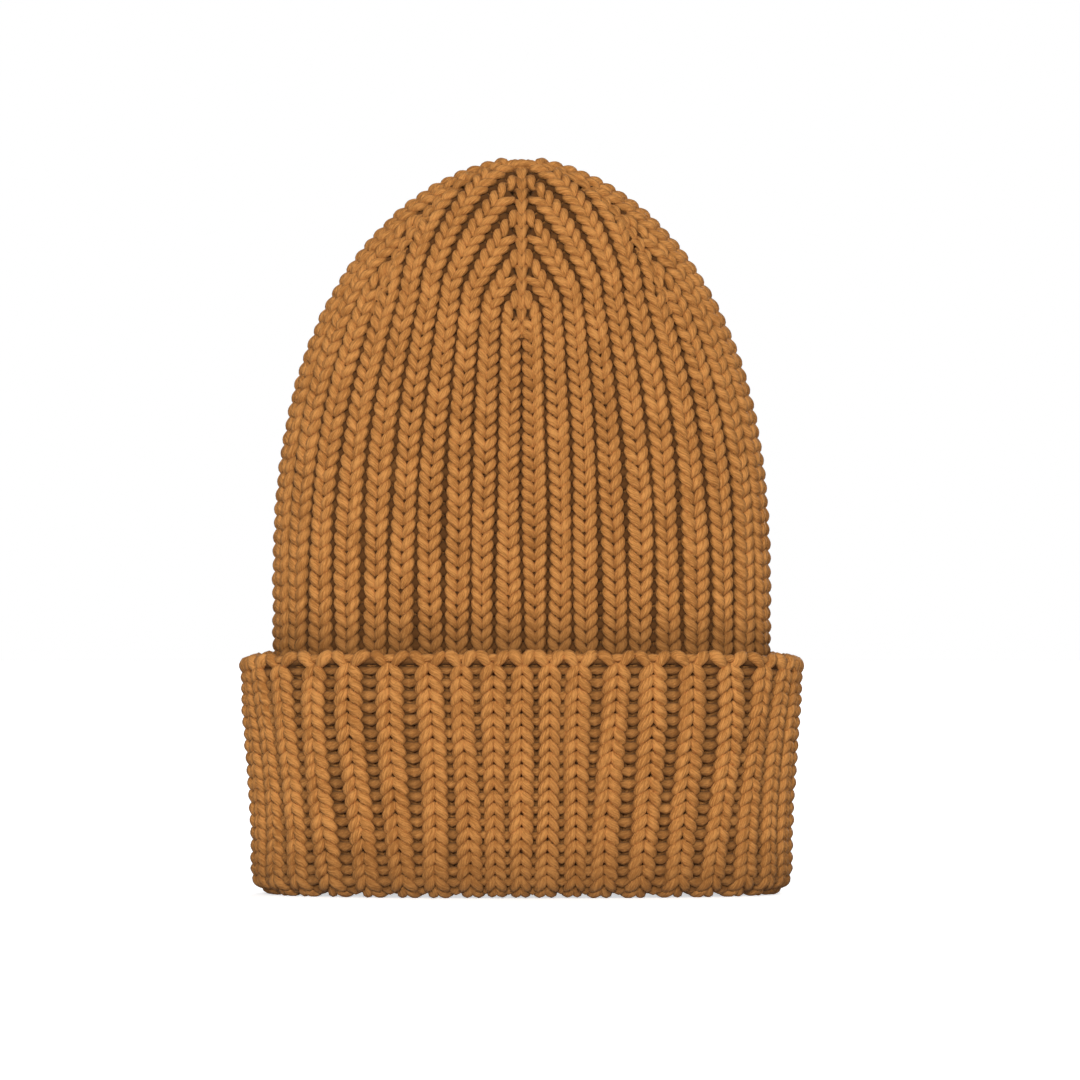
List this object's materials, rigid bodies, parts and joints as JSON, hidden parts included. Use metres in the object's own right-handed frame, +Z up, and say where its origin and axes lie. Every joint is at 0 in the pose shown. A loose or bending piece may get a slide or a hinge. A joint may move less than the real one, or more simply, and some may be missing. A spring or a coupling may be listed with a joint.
{
  "type": "cuffed rib-knit beanie",
  "caption": "Chunky rib-knit beanie in camel yarn, with a tall turned-up cuff and a gored crown drawn shut at the top, standing on its folded brim.",
  "frame": {"origin": "on the floor under the middle of the cap, at the lowest face of the folded brim", "axes": "+Z up towards the crown, -Y is the side worn over the forehead, +X is the wide axis"},
  "size_m": [0.2198, 0.1438, 0.2886],
  "materials": {
    "rib_knit": "soft matte plied wool-blend yarn, lightly fuzzy",
    "drawn_yarn": "the same plied yarn, drawn tight"
  },
  "bodies": {
    "root": {"cuff_cast_on_edge": "rib_knit", "cuff_outer_layer": "rib_knit", "cuff_fold": "rib_knit", "cuff_inner_layer": "rib_knit", "body_tube": "rib_knit", "crown_gore_front_right": "rib_knit", "crown_gore_right": "rib_knit", "crown_gore_back_right": "rib_knit", "crown_gore_back_left": "rib_knit", "crown_gore_left": "rib_knit", "crown_gore_front_left": "rib_knit", "decrease_line_front": "rib_knit", "decrease_line_front_right": "rib_knit", "decrease_line_back_right": "rib_knit", "decrease_line_back": "rib_knit", "decrease_line_back_left": "rib_knit", "decrease_line_front_left": "rib_knit", "crown_closing_round": "rib_knit", "crown_drawstring": "drawn_yarn"}
  },
  "joints": []
}
